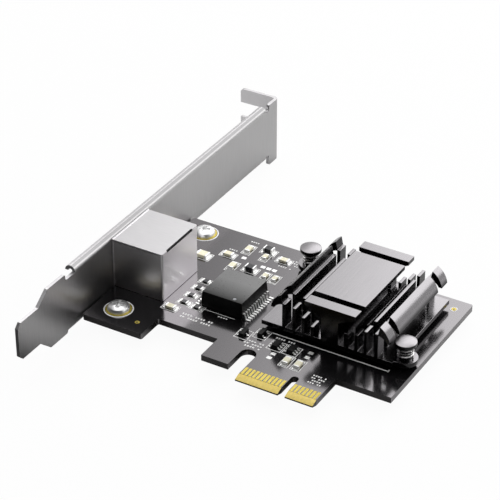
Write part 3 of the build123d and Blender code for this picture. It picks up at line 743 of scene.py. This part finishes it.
# %% Rows of dashes
# First dash's x and y, dashes in a row, rows, step along a row, step between rows
dashes = (
    (-36.0, 16.0, 12, 2, 0.72, 1.2),
    (3.2, 9.8, 6, 4, 0.6, 0.95),
    (-28.0, 19.1, 5, 1, 0.72, 0.8),
    (-17.3, 14.3, 7, 3, 0.72, 1.05),
    (-11.6, 18.5, 8, 1, 0.66, 1.1),
    (-23.7, 49.4, 3, 3, 0.62, 1.0),
    (-26.6, 45.7, 6, 1, 0.62, 0.9),
    (-41.0, 46.3, 4, 1, 0.62, 0.9),
    (-38.0, 52.0, 5, 1, 0.62, 0.9),
)
for dash_block in dashes:
    dash_rows(*dash_block)

silkscreen = join(ink_pieces, "silkscreen")
dress(silkscreen, ink)
print("silkscreen:", len(silkscreen.data.polygons), "faces")

# %% [markdown]
# ## Small discs
#
# The module's first pin is marked by a pale dot in a round recess, and the two gold dots on the
# board have a dark hole in their middle. The holes could be cut, but a thin dark plate looks the
# same from above and leaves the CAD mesh alone: it is painted shade for the dark inside of each
# hole. Each disc is a filled circle that is inset and extruded.

# %% Discs
disc_sides = 24
rim_share = 0.15
mark_right = 0.26
mark_front = 0.4
mark_radius = 0.42
mark_sink = 0.04
mark_thickness = 0.06
hole_radius = 0.26
hole_lift = 0.01
hole_thickness = 0.02


def disc(x, y, top, radius, thickness, name):
    """A thin round plate with an inset rim on its top; all sizes in millimetres."""
    bpy.ops.object.select_all(action="DESELECT")
    bpy.ops.mesh.primitive_circle_add(
        vertices=disc_sides, radius=radius * mm, fill_type="NGON",
        location=(x * mm, y * mm, top * mm))
    plate = bpy.context.active_object
    plate.name = name
    settle(plate)
    edit(plate)
    bpy.ops.mesh.inset(thickness=rim_share * radius * mm)
    thicken(thickness * mm)
    smooth(plate)
    return plate


module_low, module_high = box_mm("magnetics_body")
module_middle = (module_low + module_high) / 2
module_size = module_high - module_low
mark_x = module_middle.x + mark_right * module_size.x
mark_y = module_middle.y - mark_front * module_size.y
mark = disc(mark_x, mark_y, module_high.z - mark_sink, mark_radius, mark_thickness,
            "first_pin_mark")
dress(mark, thermal_grey)

# A thin dark plate in each gold dot: painted shade for the inside of its hole.
left_hole_shade = disc(*left_dot, dots_high.z + hole_lift, hole_radius, hole_thickness, "dot_hole")
hole_step = (Vector(right_dot) - Vector(left_dot)).to_3d() * mm
dot_hole_shades = join([left_hole_shade, copy_moved(left_hole_shade, hole_step)], "dot_hole_shades")
dress(dot_hole_shades, resistor_black)
print("dot holes apart:", [round(v / mm, 2) for v in hole_step], "mm")

# %% [markdown]
# ## Solder under the jack
#
# Each wire that comes through the board ends in a small cone of solder on the far side. A profile
# could be spun round each wire, but a cone primitive is nearly there: it is cut in two at about a
# third of its height and pulled in there, so that it climbs the wire like real solder does. The
# other cones are copies of the first.

# %% Solder cones
board_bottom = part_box("circuit_board")[0].z
cone_radius = 0.42
cone_height = 0.8
tip_share = 0.24
waist_place = 0.35
waist_share = 0.72


def solder_cone(x, y, radius, height):
    """A hollow-sided cone of solder that hangs from the board's under side; in millimetres."""
    bpy.ops.object.select_all(action="DESELECT")
    bpy.ops.mesh.primitive_cone_add(
        vertices=20, radius1=radius * mm, radius2=tip_share * radius * mm, depth=height * mm,
        location=(x * mm, y * mm, board_bottom - height * mm / 2), rotation=(math.pi, 0, 0))
    cone = bpy.context.active_object
    settle(cone)
    edit(cone)
    waist_height = board_bottom - waist_place * height * mm
    bpy.ops.mesh.bisect(plane_co=(0, 0, waist_height), plane_no=(0, 0, 1))
    bpy.ops.transform.resize(value=(waist_share, waist_share, 1),
                             center_override=(x * mm, y * mm, 0))
    bpy.ops.object.mode_set(mode="OBJECT")
    smooth(cone, 60)
    return cone


wires = part_boxes["jack_contacts"]
first_low, first_high = wires[0]
half_wire = (first_high.y - first_low.y) / 2
cones = [solder_cone(first_high.x - half_wire, first_low.y + half_wire, cone_radius, cone_height)]
for wire in wires[1:]:
    cones.append(copy_moved(cones[0], (wire[0] - first_low) * mm))
dress(join(cones, "solder_cones"), tin)
print("solder cones:", len(cones))

# %% [markdown]
# ## Studio
#
# The card stands over a pale floor. Behind it hangs a wide cloth that glows more towards its right,
# which the board and the flat tops mirror, and two soft boxes light it from the left above and from
# the right. The world is bright behind and straight above, and dark in front. A dark card on the
# floor in front keeps the faces that look forward nearly black. The floor and the world look white
# to the camera only: the metals mirror the dark front as well, because with white all round the
# black pieces would turn grey.

# %% Studio helpers
stage_middle = Vector((-15, 25, 5)) * mm
stage_radius = 0.7


def towards(azimuth, elevation):
    """Direction at an azimuth in degrees from +Y towards +X, and an elevation above the floor."""
    turn, rise = math.radians(azimuth), math.radians(elevation)
    return Vector((math.sin(turn) * math.cos(rise), math.cos(turn) * math.cos(rise),
                   math.sin(rise)))


def studio_sheet(name, place, width, depth, turn=(1, 0, 0, 0)):
    """A flat sheet of the studio, centred at a place in metres, with its size in its mesh."""
    bpy.ops.object.select_all(action="DESELECT")
    bpy.ops.mesh.primitive_plane_add(size=1, location=place)
    sheet = bpy.context.active_object
    sheet.name = name
    sheet.scale = (width, depth, 1)
    sheet.rotation_mode = "QUATERNION"
    sheet.rotation_quaternion = turn
    settle(sheet)
    return sheet


# %% Floor
floor_size = 6
floor_white = 0.95
floor_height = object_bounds()[0].z - 0.2 * mm
floor = studio_sheet("studio_floor", (0, 0, floor_height), floor_size, floor_size)
floor_finish = finish("floor_white", (0.82, 0.82, 0.82), roughness=0.9)
floor_nodes = floor_finish.node_tree.nodes
floor_glow = node_of(floor_finish, "ShaderNodeEmission")
floor_mix = node_of(floor_finish, "ShaderNodeMixShader")
floor_rays = node_of(floor_finish, "ShaderNodeLightPath")
link(floor_finish,
     calculate(floor_finish, "MULTIPLY", floor_rays.outputs["Is Camera Ray"], floor_white),
     floor_mix.inputs["Fac"])
link(floor_finish, floor_nodes["Principled BSDF"].outputs["BSDF"], floor_mix.inputs[1])
link(floor_finish, floor_glow.outputs["Emission"], floor_mix.inputs[2])
link(floor_finish, floor_mix.outputs["Shader"], floor_nodes["Material Output"].inputs["Surface"])
floor.data.materials.append(floor_finish)
print("floor at", round(floor_height / mm, 2), "mm")

# %% World
world = bpy.data.worlds.new("studio_world")
scene.world = world
world.use_nodes = True
sky_light = world.node_tree.nodes["Background"]
sky_light.inputs["Color"].default_value = (1, 1, 1, 1)
behind = ranged(world, coordinate(world, "Generated", "Y"), -0.1, 0.35, 0.05, 0.9)
overhead = ranged(world, coordinate(world, "Generated", "Z"), 0.78, 0.93, 0.05, 1.1)
link(world, calculate(world, "MAXIMUM", behind, overhead), sky_light.inputs["Strength"])
sky_seen = node_of(world, "ShaderNodeBackground")
sky_seen.inputs["Color"].default_value = (1, 1, 1, 1)
sky_rays = node_of(world, "ShaderNodeLightPath")
sky_mix = node_of(world, "ShaderNodeMixShader")
link(world, calculate(world, "MAXIMUM", sky_rays.outputs["Is Camera Ray"],
                      sky_rays.outputs["Is Transmission Ray"]), sky_mix.inputs["Fac"])
link(world, sky_light.outputs["Background"], sky_mix.inputs[1])
link(world, sky_seen.outputs["Background"], sky_mix.inputs[2])
link(world, sky_mix.outputs["Shader"], world.node_tree.nodes["World Output"].inputs["Surface"])

# %% Soft boxes
# Name, azimuth, elevation and side in metres; a level of 1 is white
soft_boxes = (("top_box", -50, 66, 0.5), ("side_box", 85, 22, 0.4))
soft_box_level = 1.2
for name, azimuth, elevation, side in soft_boxes:
    aim = towards(azimuth, elevation)
    bpy.ops.object.light_add(type="AREA", location=stage_middle + aim * stage_radius)
    lamp = bpy.context.active_object
    lamp.name = name
    lamp.data.shape = "RECTANGLE"
    lamp.data.size = side
    lamp.data.size_y = side
    lamp.data.energy = soft_box_level * math.pi * side * side
    lamp.rotation_mode = "QUATERNION"
    lamp.rotation_quaternion = aim.to_track_quat("Z", "Y")
    print(name, "gives", round(lamp.data.energy, 3), "W")

# %% Glowing sail behind the card
aim = towards(0, 35)
sail = studio_sheet("glowing_sail", stage_middle + aim * stage_radius, 1.1, 0.5,
                    aim.to_track_quat("Z", "Y"))
sail_finish = finish("sail_glow", (0.8, 0.8, 0.8))
sail_glow = node_of(sail_finish, "ShaderNodeEmission")
link(sail_finish,
     ranged(sail_finish, coordinate(sail_finish, "Object", "X"), -0.40, -0.20, 0.82, 3.0,
            interpolation="SMOOTHSTEP"),
     sail_glow.inputs["Strength"])
link(sail_finish, sail_glow.outputs["Emission"],
     sail_finish.node_tree.nodes["Material Output"].inputs["Surface"])
sail.data.materials.append(sail_finish)
sail.visible_camera = False
print("sail at", [round(v, 2) for v in stage_middle + aim * stage_radius], "m")

# %% Dark card on the floor in front
# Only glossy reflections see it. It ends 2 mm behind the tip of the edge connector.
dark_card_edge = 0.002
dark_card_depth = 1
dark_card = studio_sheet(
    "dark_card", (0, dark_card_edge - dark_card_depth / 2, floor_height + 0.05 * mm),
    2, dark_card_depth)
dark_card_finish = finish("dark_card", (0.02, 0.02, 0.02), roughness=0.9)
drive(dark_card_finish,
      ranged(dark_card_finish, coordinate(dark_card_finish, "Object", "Y"),
             -13 * mm, 0, 0.02, 0.75),
      "Base Color")
dark_card.data.materials.append(dark_card_finish)
dark_card.visible_camera = False
dark_card.visible_diffuse = False
dark_card.visible_shadow = False
dark_card.visible_transmission = False

# %% [markdown]
# ## Camera
#
# The camera stands where the photographer's did, so that a render and the photograph can be laid
# over each other. It could be moved by hand until the two agree, but here its place and directions
# were worked out from corners of the card whose real places are known. The vectors right, up and
# back are the camera's own axes, and back points from the card to the camera.

# %% Camera at the photograph's angle
sensor_width = 36.0
focal_pixels = 2079.5
picture_pixels = 500
right = Vector((0.8624, 0.5062, 0.0))
back = Vector((0.4265, -0.7266, 0.5389)).normalized()
up = back.cross(right).normalized()
right = up.cross(back).normalized()
bpy.ops.object.camera_add(location=Vector((185.925, -330.584, 281.865)) * mm)
camera = bpy.context.active_object
camera.rotation_mode = "QUATERNION"
camera.rotation_quaternion = Matrix((right, up, back)).transposed().to_quaternion()
camera.data.sensor_width = sensor_width
camera.data.lens = focal_pixels / picture_pixels * sensor_width
camera.data.clip_start = 0.02
camera.data.clip_end = 20
scene.camera = camera
scene.view_settings.view_transform = "Standard"
print("camera lens:", round(camera.data.lens, 1), "mm")
